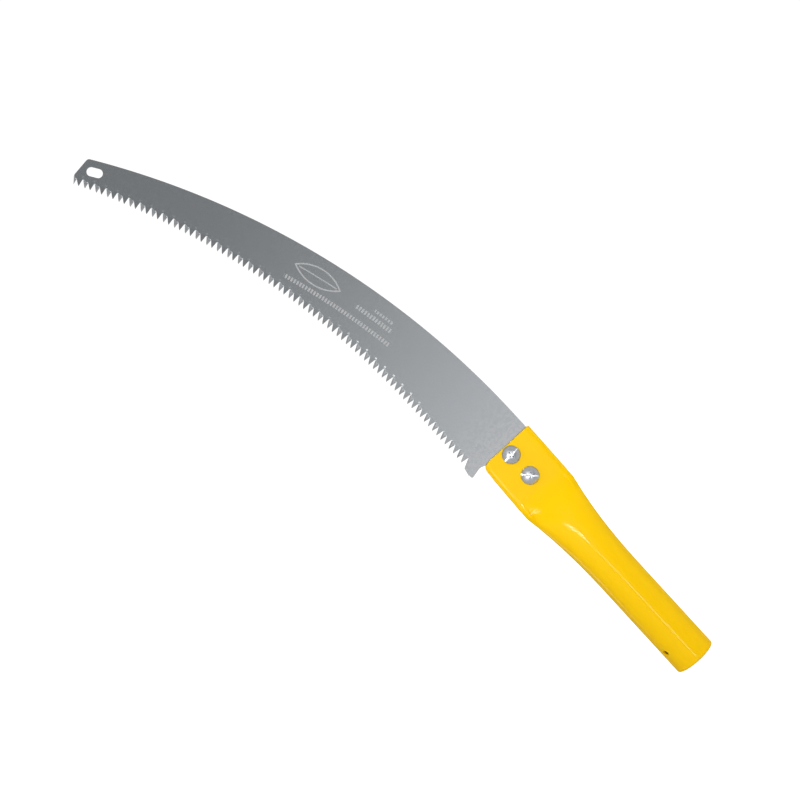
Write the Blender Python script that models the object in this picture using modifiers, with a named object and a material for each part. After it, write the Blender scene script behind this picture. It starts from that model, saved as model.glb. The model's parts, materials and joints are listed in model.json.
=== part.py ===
"""Pole-mounted pruning saw head.

A curved, pull-cutting blade is clamped by two machine screws in the flattened end of a
steel tube. The other end of the tube stays round and is the socket for a pole.

Frame: metres, +Z up along the socket. The origin is the centre of the socket's open end,
-X is the cutting side and -Y is the face that carries the screw heads.

Run it with: blender --background --python part.py
"""

import math

import bmesh
import bpy
from mathutils import Vector

MM = 0.001
GAP = 0.3 * MM  # clearance kept between neighbouring pieces

# --- socket tube ---------------------------------------------------------------------
TUBE_RADIUS = 15.0 * MM
TUBE_WALL = 1.5 * MM
SOCKET_LENGTH = 189.0 * MM
ROUND_LENGTH = 68.0 * MM  # the tube is round up to here, and then it is pressed flatter
FLAT_START = 143.5 * MM
FLAT_HALF_WIDTH_LOW = 21.2 * MM
FLAT_HALF_WIDTH_HIGH = 20.7 * MM
FLAT_SHIFT_LOW = 0.5 * MM  # the flat leans a little towards the blade's back
FLAT_SHIFT_HIGH = 1.7 * MM
FOLD_RADIUS = 3.0 * MM  # the rounded side edges of the flat
PRESS_CURVE = 2.4  # power law of the widening along the transition
DIE_ROUNDING = 10.0 * MM  # half the height over which the change of thickness is rounded off
OVAL_RUN = 16.0 * MM  # height over which the sections turn from ovals into flat-sided ones
WEB_BLEND = 8.0 * MM  # width over which the closed middle rises to the side edges
CUTTING_CORNER_RADIUS = 5.3 * MM
BACK_CORNER_RADIUS = 1.0 * MM
SECTION_POINTS = 64
TRANSITION_RINGS = 16
POLE_HOLE_RADIUS = 2.25 * MM
POLE_HOLE_HEIGHT = 16.5 * MM
POLE_HOLE_ANGLE = math.radians(210.0)  # about +Z from +X: cutting side, a little to the front

# --- blade ---------------------------------------------------------------------------
BLADE_THICKNESS = 1.4 * MM
BACK_CENTRE = Vector((-558.6, 201.0)) * MM  # X and Z of the back edge's arc
BACK_RADIUS = 579.2 * MM
TEETH_CENTRE = Vector((-587.6, 250.1)) * MM  # X and Z of the arc through the tooth points
TEETH_RADIUS = 560.0 * MM
TOOTH_COUNT = 80
TOOTH_PITCH = 4.08 * MM
FIRST_TOOTH_HEIGHT = 200.8 * MM
GULLET_DEPTHS = (4.8 * MM, 4.1 * MM)  # alternate gullets, at the tip
HEEL_DEEPER = 0.8 * MM  # gullets get this much deeper towards the heel
GULLET_LAG = 0.9 * MM  # a gullet lies this far below its tooth's point: pull-stroke rake
GULLET_FLAT = 0.3 * MM
SHOULDER_RUN = 1.0 * MM  # the ground top of a tooth
SHOULDER_DEPTH = 1.1 * MM
TIP_TOP_Z = 518.3 * MM
TIP_NOSE = Vector((-88.7, 516.5)) * MM
TIP_CORNER_RADIUS = 2.5 * MM
SLOT_CENTRE = Vector((-77.0, 508.4)) * MM
SLOT_WIDTH = 6.2 * MM
SLOT_LENGTH = 11.2 * MM
SLOT_TILT = math.radians(33.0)  # the slot leans with the blade, from +Z towards -X
TANG_DEPTH = 40.0 * MM
TANG_SIDE = Vector((-16.5, 188.2)) * MM  # where the spur's arch meets the tang
TANG_CORNER_RADIUS = 4.0 * MM
ARC_STEP = 6.0 * MM  # longest chord along the blade's back

# --- fasteners (M6) ------------------------------------------------------------------
SCREW_X = 0.6 * MM
SCREW_HEIGHTS = {"upper": 182.3 * MM, "lower": 163.7 * MM}
SCREW_TURNS = {"upper": math.radians(-3.0), "lower": math.radians(48.0)}
THREAD_RADIUS = 3.0 * MM
SHANK_LENGTH = 16.0 * MM
HEAD_RADIUS = 6.2 * MM
HEAD_HEIGHT = 3.7 * MM
HEAD_RIM = 0.9 * MM  # straight side below the dome
DRIVE_SLOT_WIDTH = 1.5 * MM
DRIVE_SLOT_DEPTH = 2.7 * MM
DRIVE_CROSS_LENGTH = 6.4 * MM
DRIVE_CROSS_WIDTH = 1.2 * MM
DRIVE_CROSS_DEPTH = 2.6 * MM
WASHER_RADIUS = 5.6 * MM
WASHER_THICKNESS = 1.6 * MM
WASHER_SPLIT = 0.9 * MM
NUT_ACROSS_FLATS = 10.0 * MM
NUT_HEIGHT = 5.2 * MM
NUT_FACE_RADIUS = 4.8 * MM
TURNED_STEPS = 36

HOLE_RADIUS = THREAD_RADIUS + GAP
WEB_HALF = BLADE_THICKNESS / 2 + GAP + TUBE_WALL  # half thickness where the tube is closed
CUT_REACH = 40.0 * MM  # cutters pass well beyond the walls they cut

YELLOW_PAINT = ("yellow_paint", (0.955, 0.585, 0.012), 0.32, 0.0)
BLADE_STEEL = ("blade_steel", (0.42, 0.43, 0.44), 0.38, 1.0)
ZINC_PLATE = ("zinc_plate", (0.62, 0.63, 0.65), 0.25, 1.0)


# --- scene helpers -------------------------------------------------------------------
def clear_scene():
    for obj in list(bpy.data.objects):
        bpy.data.objects.remove(obj, do_unlink=True)


def new_collection(name):
    collection = bpy.data.collections.new(name)
    bpy.context.scene.collection.children.link(collection)
    return collection


def material(name, colour, roughness, metallic):
    """The Principled material of that name, made on first use."""
    found = bpy.data.materials.get(name)
    if found:
        return found
    made = bpy.data.materials.new(name)
    made.use_nodes = True
    shader = made.node_tree.nodes["Principled BSDF"]
    shader.inputs["Base Color"].default_value = (*colour, 1.0)
    shader.inputs["Roughness"].default_value = roughness
    shader.inputs["Metallic"].default_value = metallic
    return made


def add_part(name, data, finish, collection):
    obj = bpy.data.objects.new(name, data)
    collection.objects.link(obj)
    obj.data.materials.append(material(*finish))
    return obj


def add_cutter(name, mesh, collection):
    obj = bpy.data.objects.new(name, mesh)
    collection.objects.link(obj)
    obj.hide_render = True
    obj.display_type = "WIRE"
    return obj


def mesh_from(name, bm):
    mesh = bpy.data.meshes.new(name)
    bm.to_mesh(mesh)
    bm.free()
    return mesh


def boolean(obj, cutter, operation="DIFFERENCE"):
    modifier = obj.modifiers.new(cutter.name, "BOOLEAN")
    modifier.operation = operation
    modifier.object = cutter
    modifier.solver = "EXACT"


def shade(obj, sharp_angle=math.radians(35.0)):
    obj.data.shade_smooth()
    obj.data.set_sharp_from_angle(angle=sharp_angle)


# --- shape helpers -------------------------------------------------------------------
def arc_points(centre, radius, start, end, count):
    """count + 1 points of an arc in the plane, from angle start to angle end."""
    angles = [start + (end - start) * i / count for i in range(count + 1)]
    return [centre + radius * Vector((math.cos(a), math.sin(a))) for a in angles]


def fillet(before, corner, after, radius, count=5):
    """The corner between two straight sides, replaced by an arc of that radius."""
    to_before = (before - corner).normalized()
    to_after = (after - corner).normalized()
    half = to_before.angle(to_after) / 2
    reach = radius / math.tan(half)
    centre = corner + (to_before + to_after).normalized() * radius / math.sin(half)
    start = corner + to_before * reach - centre
    end = corner + to_after * reach - centre
    first = math.atan2(start.y, start.x)
    sweep = math.remainder(math.atan2(end.y, end.x) - first, 2 * math.pi)
    return arc_points(centre, radius, first, first + sweep, count)


def slot_points(centre, length, width, tilt, count=8):
    """An obround, its long axis turned by tilt from the vertical."""
    axis = Vector((-math.sin(tilt), math.cos(tilt)))
    offset = axis * (length - width) / 2
    lead = math.atan2(axis.y, axis.x)
    quarter = math.pi / 2
    upper = arc_points(centre + offset, width / 2, lead - quarter, lead + quarter, count)
    lower = arc_points(centre - offset, width / 2, lead + quarter, lead + 3 * quarter, count)
    return upper + lower


def circle_points(centre, radius, count=28):
    return arc_points(centre, radius, 0.0, 2 * math.pi, count)[:-1]


def plate_curve(name, outlines, thickness):
    """A flat plate as a filled 2D curve. Later outlines inside the first are its holes."""
    curve = bpy.data.curves.new(name, "CURVE")
    curve.dimensions = "2D"
    curve.fill_mode = "BOTH"
    curve.extrude = thickness / 2
    for outline in outlines:
        spline = curve.splines.new("POLY")
        spline.points.add(len(outline) - 1)
        for point, place in zip(spline.points, outline):
            point.co = (place.x, place.y, 0.0, 1.0)
        spline.use_cyclic_u = True
    return curve


def plate_mesh(name, outline, thickness):
    """The same plate as a closed mesh, for a cutter."""
    guide = bpy.data.objects.new(name, plate_curve(name, [outline], thickness))
    bpy.context.scene.collection.objects.link(guide)
    graph = bpy.context.evaluated_depsgraph_get()
    mesh = bpy.data.meshes.new_from_object(guide.evaluated_get(graph))
    bpy.data.objects.remove(guide, do_unlink=True)
    bm = bmesh.new()
    bm.from_mesh(mesh)
    bmesh.ops.remove_doubles(bm, verts=bm.verts, dist=0.001 * MM)
    bmesh.ops.recalc_face_normals(bm, faces=bm.faces)
    bm.to_mesh(mesh)
    bm.free()
    return mesh


def cylinder_mesh(name, radius, depth, segments=TURNED_STEPS):
    bm = bmesh.new()
    bmesh.ops.create_cone(
        bm, cap_ends=True, segments=segments, radius1=radius, radius2=radius, depth=depth
    )
    return mesh_from(name, bm)


def box_mesh(name, size):
    bm = bmesh.new()
    bmesh.ops.create_cube(bm, size=1.0)
    bmesh.ops.scale(bm, vec=size, verts=bm.verts)
    return mesh_from(name, bm)


def profile_mesh(name, profile):
    """A chain of edges in the local XZ plane, for a Screw modifier to turn."""
    bm = bmesh.new()
    verts = [bm.verts.new((radius, 0.0, height)) for radius, height in profile]
    for a, b in zip(verts, verts[1:]):
        bm.edges.new((a, b))
    return mesh_from(name, bm)


def turn(obj):
    """Turns the object's profile a full circle about its local Z axis."""
    modifier = obj.modifiers.new("turned", "SCREW")
    modifier.steps = TURNED_STEPS
    modifier.render_steps = TURNED_STEPS
    modifier.use_merge_vertices = True
    modifier.merge_threshold = 0.01 * MM
    modifier.use_smooth_shade = True


# --- socket --------------------------------------------------------------------------
def smooth(value):
    value = min(1.0, max(0.0, value))
    return value * value * (3 - 2 * value)


def half_width(z):
    """Half the tube's width at a height: round, then widening, then the flat."""
    if z <= ROUND_LENGTH:
        return TUBE_RADIUS
    if z < FLAT_START:
        pressed = ((z - ROUND_LENGTH) / (FLAT_START - ROUND_LENGTH)) ** PRESS_CURVE
        return TUBE_RADIUS + (FLAT_HALF_WIDTH_LOW - TUBE_RADIUS) * pressed
    share = (z - FLAT_START) / (SOCKET_LENGTH - FLAT_START)
    return FLAT_HALF_WIDTH_LOW + (FLAT_HALF_WIDTH_HIGH - FLAT_HALF_WIDTH_LOW) * share


def pressed_thickness(z):
    """Half the thickness that keeps the tube's girth: as the square of the width rises,
    the square of the thickness falls in proportion."""
    if z >= FLAT_START:
        return FOLD_RADIUS
    widened = half_width(z) ** 2 - TUBE_RADIUS**2
    share = widened / (FLAT_HALF_WIDTH_LOW**2 - TUBE_RADIUS**2)
    return math.sqrt(TUBE_RADIUS**2 + (FOLD_RADIUS**2 - TUBE_RADIUS**2) * share)


def half_thickness(z):
    """The pressed thickness, averaged over a short height as the die's rounded edge does."""
    steps = 6
    offsets = [DIE_ROUNDING * (2 * i / steps - 1) for i in range(steps + 1)]
    return sum(pressed_thickness(z + offset) for offset in offsets) / len(offsets)


def sideways_shift(z):
    """How far the section's middle lies towards the blade's back."""
    if z < FLAT_START:
        widened = (half_width(z) - TUBE_RADIUS) / (FLAT_HALF_WIDTH_LOW - TUBE_RADIUS)
        return FLAT_SHIFT_LOW * widened
    share = (z - FLAT_START) / (SOCKET_LENGTH - FLAT_START)
    return FLAT_SHIFT_LOW + (FLAT_SHIFT_HIGH - FLAT_SHIFT_LOW) * share


def stadium_point(half_length, radius, share):
    """A point of a stadium, at a share of its perimeter from its +X end, anticlockwise."""
    straight = half_length - radius
    quarter_arc = math.pi / 2 * radius
    perimeter = 4 * (straight + quarter_arc)
    side = share * 4
    along = (side % 1.0) * perimeter / 4
    if int(side) % 2:  # the second and fourth quarters run from the middle out to the end
        along = perimeter / 4 - along
    if along < quarter_arc:
        angle = along / radius
        x = straight + radius * math.cos(angle)
        y = radius * math.sin(angle)
    else:
        x = straight - (along - quarter_arc)
        y = radius
    quarter = int(side) % 4
    return x if quarter in (0, 3) else -x, y if quarter < 2 else -y


def socket_section(z):
    """The tube's outer outline at a height, as points anticlockwise from +X. It is an oval
    low down, and a stadium, closed on the blade in the middle, in the flat."""
    width, thickness, shift = half_width(z), half_thickness(z), sideways_shift(z)
    straight = width - thickness
    flatness = smooth((z - FLAT_START) / OVAL_RUN + 0.5)
    points = []
    for i in range(SECTION_POINTS):
        x, y = stadium_point(width, thickness, i / SECTION_POINTS)
        angle = 2 * math.pi * i / SECTION_POINTS
        x += (width * math.cos(angle) - x) * (1 - flatness)
        y += (thickness * math.sin(angle) - y) * (1 - flatness)
        sunk = flatness * smooth((straight - abs(x)) / WEB_BLEND)
        y -= math.copysign((FOLD_RADIUS - WEB_HALF) * sunk, y)
        points.append((x + shift, y, z))
    return points


def socket_heights():
    """Heights of the section rings: few on the round tube, close in the transition."""
    rise = FLAT_START - ROUND_LENGTH
    heights = [0.0, ROUND_LENGTH / 2]
    heights += [ROUND_LENGTH + rise * i / TRANSITION_RINGS for i in range(TRANSITION_RINGS + 1)]
    heights += [FLAT_START + above * MM for above in (4.0, 8.0, 12.5, 24.0, 36.0)]
    heights.append(SOCKET_LENGTH)
    return heights


def socket_mesh():
    """The outer skin of the tube: rings of points joined by quads, open at both ends."""
    bm = bmesh.new()
    rings = [[bm.verts.new(p) for p in socket_section(z)] for z in socket_heights()]
    for low, high in zip(rings, rings[1:]):
        for i in range(SECTION_POINTS):
            j = (i + 1) % SECTION_POINTS
            bm.faces.new((low[i], low[j], high[j], high[i]))
    return mesh_from("pole_socket", bm)


def corner_cutter_outline(edge_x, radius, outward):
    """The waste outside a rounded corner of the socket's mouth, in X and Z."""
    corner = Vector((edge_x, SOCKET_LENGTH))
    inner = Vector((edge_x - outward * radius, SOCKET_LENGTH))
    below = Vector((edge_x, SOCKET_LENGTH - radius))
    margin = 1.0 * MM
    rounded = fillet(inner, corner, below, radius, 10)
    beyond = [
        Vector((edge_x + outward * margin, SOCKET_LENGTH - radius)),
        Vector((edge_x + outward * margin, SOCKET_LENGTH + margin)),
        Vector((edge_x - outward * radius, SOCKET_LENGTH + margin)),
    ]
    return rounded + beyond


def build_socket(parts, cutters):
    socket = add_part("pole_socket", socket_mesh(), YELLOW_PAINT, parts)
    wall = socket.modifiers.new("wall", "SOLIDIFY")
    wall.thickness = TUBE_WALL
    wall.offset = -1.0
    wall.use_even_offset = True

    for place, height in SCREW_HEIGHTS.items():
        mesh = cylinder_mesh(f"cut_{place}_screw", HOLE_RADIUS, CUT_REACH)
        hole = add_cutter(f"cut_{place}_screw", mesh, cutters)
        hole.location = (SCREW_X, 0.0, height)
        hole.rotation_euler = (math.pi / 2, 0.0, 0.0)
        boolean(socket, hole)

    mesh = cylinder_mesh("cut_pole_hole", POLE_HOLE_RADIUS, TUBE_RADIUS, 24)
    pole_hole = add_cutter("cut_pole_hole", mesh, cutters)
    pole_hole.location = (
        TUBE_RADIUS * math.cos(POLE_HOLE_ANGLE),
        TUBE_RADIUS * math.sin(POLE_HOLE_ANGLE),
        POLE_HOLE_HEIGHT,
    )
    pole_hole.rotation_euler = (0.0, math.pi / 2, POLE_HOLE_ANGLE)
    boolean(socket, pole_hole)

    corners = (
        ("cut_cutting_corner", -1.0, CUTTING_CORNER_RADIUS),
        ("cut_back_corner", 1.0, BACK_CORNER_RADIUS),
    )
    for name, outward, radius in corners:
        edge_x = FLAT_SHIFT_HIGH + outward * FLAT_HALF_WIDTH_HIGH
        outline = corner_cutter_outline(edge_x, radius, outward)
        cutter = add_cutter(name, plate_mesh(name, outline, CUT_REACH), cutters)
        cutter.rotation_euler = (math.pi / 2, 0.0, 0.0)
        boolean(socket, cutter)
    shade(socket)
    return socket


# --- blade ---------------------------------------------------------------------------
def on_tooth_line(run, depth):
    """A point inside the line of tooth points by depth, at a run along that line from Z of
    its arc's centre. The line is straight below there and an arc above."""
    angle = max(0.0, run) / TEETH_RADIUS
    outward = Vector((math.cos(angle), math.sin(angle)))
    return TEETH_CENTRE + (TEETH_RADIUS + depth) * outward + Vector((0.0, min(0.0, run)))


def tooth_points():
    """The toothed edge, from the gullet above the heel spur to the last tooth's point."""
    first = FIRST_TOOTH_HEIGHT - TEETH_CENTRE.y
    points = []
    for k in range(TOOTH_COUNT):
        run = first + k * TOOTH_PITCH
        depth = GULLET_DEPTHS[k % 2] + HEEL_DEEPER * (1 - k / TOOTH_COUNT)
        points.append(on_tooth_line(run - GULLET_LAG - GULLET_FLAT, depth))
        points.append(on_tooth_line(run - GULLET_LAG, depth))
        points.append(on_tooth_line(run, 0.0))
        if k < TOOTH_COUNT - 1:
            points.append(on_tooth_line(run + SHOULDER_RUN, SHOULDER_DEPTH))
    return points


def spur_points():
    """The heel spur, from the tang's cutting side round to the first gullet."""
    arch = Vector((-20.4, 189.8)) * MM
    foot = Vector((-28.9, 188.0)) * MM
    nose = Vector((-29.6, 191.3)) * MM
    brow = Vector((-28.4, 196.5)) * MM
    gullet = Vector((-22.2, 198.9)) * MM
    points = fillet(TANG_SIDE, arch, foot, 3.5 * MM)
    points += fillet(arch, foot, nose, 0.9 * MM)
    points.append(nose)
    points += fillet(nose, brow, gullet, 0.9 * MM)
    return [TANG_SIDE] + points


def back_x(z):
    """X of the blade's back edge: an arc that runs straight down below its own centre."""
    rise = max(0.0, z - BACK_CENTRE.y)
    return BACK_CENTRE.x + math.sqrt(BACK_RADIUS**2 - rise**2)


def back_points():
    """The tip's two corners and the back edge, down to the socket's mouth."""
    corner = Vector((back_x(TIP_TOP_Z), TIP_TOP_Z))
    lead = Vector((back_x(TIP_TOP_Z - 10.0 * MM), TIP_TOP_Z - 10.0 * MM))
    points = [TIP_NOSE]
    points += fillet(TIP_NOSE, corner, lead, TIP_CORNER_RADIUS)
    start = math.asin((points[-1].y - BACK_CENTRE.y) / BACK_RADIUS)
    count = math.ceil(start * BACK_RADIUS / ARC_STEP)
    points += arc_points(BACK_CENTRE, BACK_RADIUS, start, 0.0, count)[1:]
    points.append(Vector((back_x(0.0), SOCKET_LENGTH)))
    return points


def tang_points():
    """The tang inside the flattened tube, from the mouth's back side round its foot."""
    foot_z = SOCKET_LENGTH - TANG_DEPTH
    top_back = Vector((back_x(0.0), SOCKET_LENGTH))
    low_back = Vector((18.2 * MM, foot_z))
    low_cutting = Vector((-14.6 * MM, foot_z))
    points = fillet(top_back, low_back, low_cutting, TANG_CORNER_RADIUS)
    points += fillet(low_back, low_cutting, TANG_SIDE, TANG_CORNER_RADIUS)
    return points


def build_blade(parts):
    outline = spur_points() + tooth_points() + back_points() + tang_points()
    holes = [slot_points(SLOT_CENTRE, SLOT_LENGTH, SLOT_WIDTH, SLOT_TILT)]
    for height in SCREW_HEIGHTS.values():
        holes.append(circle_points(Vector((SCREW_X, height)), HOLE_RADIUS))
    curve = plate_curve("saw_blade", [outline] + holes, BLADE_THICKNESS)
    blade = add_part("saw_blade", curve, BLADE_STEEL, parts)
    blade.rotation_euler = (math.pi / 2, 0.0, 0.0)
    return blade


# --- fasteners -----------------------------------------------------------------------
def head_dome(count=8):
    """The head's domed top, a spherical cap, from its centre out to its rim."""
    rise = HEAD_HEIGHT - HEAD_RIM
    sphere = (HEAD_RADIUS**2 + rise**2) / (2 * rise)
    edge = math.asin(HEAD_RADIUS / sphere)
    points = []
    for i in range(count + 1):
        angle = edge * i / count
        points.append((sphere * math.sin(angle), HEAD_HEIGHT - sphere * (1 - math.cos(angle))))
    return points


def screw_profile():
    chamfer = 0.6 * MM
    return head_dome() + [
        (HEAD_RADIUS, 0.0),
        (THREAD_RADIUS, 0.0),
        (THREAD_RADIUS, chamfer - SHANK_LENGTH),
        (THREAD_RADIUS - chamfer, -SHANK_LENGTH),
        (0.0, -SHANK_LENGTH),
    ]


def at_screw(obj, place, y):
    """Puts a fastener's local origin on its screw's axis at y, with local +Z to the front."""
    obj.location = (SCREW_X, y, SCREW_HEIGHTS[place])
    obj.rotation_euler = (math.pi / 2, SCREW_TURNS[place], 0.0)


def build_screw(place, parts, cutters):
    """A dome-head machine screw with a slot and cross drive."""
    seat = -WEB_HALF - GAP
    screw = add_part(f"{place}_screw", profile_mesh("screw", screw_profile()), ZINC_PLATE, parts)
    at_screw(screw, place, seat)
    turn(screw)

    above = 2.0 * MM
    slot_height = DRIVE_SLOT_DEPTH + above
    cross_height = DRIVE_CROSS_DEPTH + above
    drives = (
        ("slot", (3 * HEAD_RADIUS, DRIVE_SLOT_WIDTH, slot_height)),
        ("cross_along", (DRIVE_CROSS_LENGTH, DRIVE_CROSS_WIDTH, cross_height)),
        ("cross_over", (DRIVE_CROSS_WIDTH, DRIVE_CROSS_LENGTH, cross_height)),
    )
    for label, size in drives:
        name = f"cut_{place}_{label}"
        cutter = add_cutter(name, box_mesh(name, size), cutters)
        at_screw(cutter, place, seat - HEAD_HEIGHT - above + size[2] / 2)
        boolean(screw, cutter)
    return screw


def build_washer(place, parts, cutters):
    """A split spring washer under the nut."""
    profile = [
        (HOLE_RADIUS, WASHER_THICKNESS),
        (WASHER_RADIUS, WASHER_THICKNESS),
        (WASHER_RADIUS, 0.0),
        (HOLE_RADIUS, 0.0),
        (HOLE_RADIUS, WASHER_THICKNESS),
    ]
    mesh = profile_mesh("washer", profile)
    washer = add_part(f"{place}_spring_washer", mesh, ZINC_PLATE, parts)
    at_screw(washer, place, WEB_HALF + GAP + WASHER_THICKNESS)
    turn(washer)

    name = f"cut_{place}_split"
    size = (WASHER_SPLIT, WASHER_RADIUS, 3 * WASHER_THICKNESS)
    split = add_cutter(name, box_mesh(name, size), cutters)
    split.parent = washer
    split.location = (0.0, WASHER_RADIUS * 0.75, WASHER_THICKNESS / 2)
    split.rotation_euler = (0.0, math.radians(25.0), 0.0)
    boolean(washer, split)
    return washer


def build_nut(place, parts, cutters):
    """A hexagon nut with both faces chamfered."""
    corner_radius = NUT_ACROSS_FLATS / math.sqrt(3)
    middle = WEB_HALF + GAP + WASHER_THICKNESS + GAP + NUT_HEIGHT / 2
    mesh = cylinder_mesh("nut", corner_radius, NUT_HEIGHT, 6)
    nut = add_part(f"{place}_nut", mesh, ZINC_PLATE, parts)
    at_screw(nut, place, middle)

    drop = (corner_radius - NUT_FACE_RADIUS) * math.tan(math.radians(30.0))
    reach = corner_radius + 0.5 * MM
    reach_drop = (reach - NUT_FACE_RADIUS) * math.tan(math.radians(30.0))
    half = NUT_HEIGHT / 2
    barrel_profile = [
        (0.0, half + 0.1 * MM),
        (NUT_FACE_RADIUS - 0.1 * MM / math.tan(math.radians(30.0)), half + 0.1 * MM),
        (reach, half - reach_drop),
        (reach, reach_drop - half),
        (NUT_FACE_RADIUS - 0.1 * MM / math.tan(math.radians(30.0)), -half - 0.1 * MM),
        (0.0, -half - 0.1 * MM),
    ]
    name = f"cut_{place}_nut_chamfers"
    barrel = add_cutter(name, profile_mesh(name, barrel_profile), cutters)
    at_screw(barrel, place, middle)
    turn(barrel)
    boolean(nut, barrel, "INTERSECT")

    name = f"cut_{place}_nut_bore"
    bore = add_cutter(name, cylinder_mesh(name, HOLE_RADIUS, CUT_REACH), cutters)
    at_screw(bore, place, middle)
    boolean(nut, bore)
    return nut


def main():
    clear_scene()
    parts = new_collection("pruning_saw_head")
    cutters = new_collection("cutters")
    build_socket(parts, cutters)
    build_blade(parts)
    for place in SCREW_HEIGHTS:
        build_screw(place, parts, cutters)
        build_washer(place, parts, cutters)
        build_nut(place, parts, cutters)


main()
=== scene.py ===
"""Looks of the pole saw head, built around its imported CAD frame.

Every CAD node is replaced by a finer piece in the same place: a blade with ground and set
teeth, a painted socket with rounded rims, and fasteners with threads and drive recesses.
The socket's flat is a third of a millimetre fuller than the CAD's around the screws.
Lengths are in metres in the row frame: +Z up the socket, teeth on -X, screw heads on -Y.
"""

import json
import math

import bmesh
import bpy
from mathutils import Matrix, Vector

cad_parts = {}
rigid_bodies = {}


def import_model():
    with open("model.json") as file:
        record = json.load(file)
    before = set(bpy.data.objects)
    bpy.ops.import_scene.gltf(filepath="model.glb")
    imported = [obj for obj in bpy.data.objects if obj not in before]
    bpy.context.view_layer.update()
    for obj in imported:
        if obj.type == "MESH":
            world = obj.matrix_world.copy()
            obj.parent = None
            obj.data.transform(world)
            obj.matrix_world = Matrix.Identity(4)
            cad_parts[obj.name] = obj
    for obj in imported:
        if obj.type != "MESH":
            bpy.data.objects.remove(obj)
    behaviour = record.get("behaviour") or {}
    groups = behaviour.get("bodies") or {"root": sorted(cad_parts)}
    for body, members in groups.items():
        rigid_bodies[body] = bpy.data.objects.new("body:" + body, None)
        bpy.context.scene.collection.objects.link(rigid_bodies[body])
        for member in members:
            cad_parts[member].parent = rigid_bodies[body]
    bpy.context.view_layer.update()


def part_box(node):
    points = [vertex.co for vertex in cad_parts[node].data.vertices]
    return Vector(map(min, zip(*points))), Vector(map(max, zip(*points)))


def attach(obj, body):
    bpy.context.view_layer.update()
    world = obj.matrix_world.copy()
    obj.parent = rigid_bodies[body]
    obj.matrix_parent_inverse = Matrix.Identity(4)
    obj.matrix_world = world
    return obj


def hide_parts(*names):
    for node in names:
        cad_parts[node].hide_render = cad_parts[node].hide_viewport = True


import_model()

MM = 0.001
BODY = "root"

# --- sizes read from the frame ---
socket_low, socket_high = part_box("pole_socket")
blade_low, blade_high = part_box("saw_blade")
SOCKET_LENGTH = socket_high.z
TUBE_RADIUS = -socket_low.y
BLADE_THICKNESS = blade_high.y - blade_low.y
SCREW_PLACES = {}
for place in ("upper", "lower"):
    low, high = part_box(f"{place}_screw")
    SCREW_PLACES[place] = Vector(((low.x + high.x) / 2, 0.0, (low.z + high.z) / 2))
HEAD_TOP_Y = low.y
SHANK_END_Y = high.y
WASHER_Y = [corner.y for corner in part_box("upper_spring_washer")]
NUT_Y = [corner.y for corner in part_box("upper_nut")]

# --- sizes of the design ---
GAP = 0.3 * MM
TUBE_WALL = 1.5 * MM
ROUND_LENGTH = 68.0 * MM
FLAT_START = 143.5 * MM
FLAT_HALF_WIDTHS = (21.2 * MM, 20.7 * MM)  # low and high ends of the flat
FLAT_SHIFTS = (0.5 * MM, 1.7 * MM)
FOLD_RADIUS = 3.0 * MM
PRESS_CURVE = 2.4
DIE_ROUNDING = 10.0 * MM
OVAL_RUN = 16.0 * MM
WEB_BLEND = 14.0 * MM
WEB_SINK = 0.15 * MM  # how far the flat's middle lies below its folds
FOLD_RUN = 3.9 * MM  # how far in from the flat's side edges the folds slope
WEB_HALF = BLADE_THICKNESS / 2 + GAP + TUBE_WALL  # half the CAD flat's thickness there
SEAT_Y = -(WEB_HALF + GAP)  # the underside of the screws' heads
MOUTH_CORNERS = (5.3 * MM, 1.0 * MM)  # radii on the cutting side and on the back's side
POLE_HOLE_RADIUS = 2.25 * MM
POLE_HOLE_HEIGHT = 16.5 * MM
POLE_HOLE_ANGLE = math.radians(210.0)

BACK_CENTRE = Vector((-558.6, 201.0)) * MM  # X and Z
BACK_RADIUS = 579.2 * MM
TEETH_CENTRE = Vector((-587.6, 250.1)) * MM
TEETH_RADIUS = 560.0 * MM
TOOTH_COUNT = 80
TOOTH_PITCH = 4.08 * MM
FIRST_TOOTH_HEIGHT = 200.8 * MM
GULLET_DEPTHS = (4.8 * MM, 4.1 * MM)
HEEL_DEEPER = 0.8 * MM
GULLET_LAG = 0.9 * MM
GULLET_FLAT = 0.3 * MM
SHOULDER_RUN = 1.0 * MM
SHOULDER_DEPTH = 1.1 * MM
TIP_TOP_Z = 518.3 * MM
TIP_NOSE = Vector((-88.7, 516.5)) * MM
TIP_CORNER_RADIUS = 2.5 * MM
SLOT_CENTRE = Vector((-77.0, 508.4)) * MM
SLOT_WIDTH = 6.2 * MM
SLOT_LENGTH = 11.2 * MM
SLOT_TILT = math.radians(33.0)
TANG_SIDE = Vector((-16.5, 188.2)) * MM
TANG_DEPTH = 40.0 * MM
TANG_CORNER_RADIUS = 4.0 * MM

HEAD_RADIUS = 6.2 * MM
HEAD_RIM = 0.9 * MM
DRIVE_SLOT = (1.1 * MM, 2.70 * MM)  # width and depth
DRIVE_WING = (6.6 * MM, 1.25 * MM, 3.0 * MM)  # length, width and depth
THREAD_RADIUS = 3.0 * MM
SCREW_TURNS = {"upper": math.radians(-3.0), "lower": math.radians(48.0)}
WASHER_RADIUS = 5.6 * MM
WASHER_HALF_GAP = 0.09  # radians
WASHER_SLANT = 0.22  # radians that the split's faces lean over through the washer
NUT_ACROSS_FLATS = 10.0 * MM
NUT_FACE_RADIUS = 4.8 * MM

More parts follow.
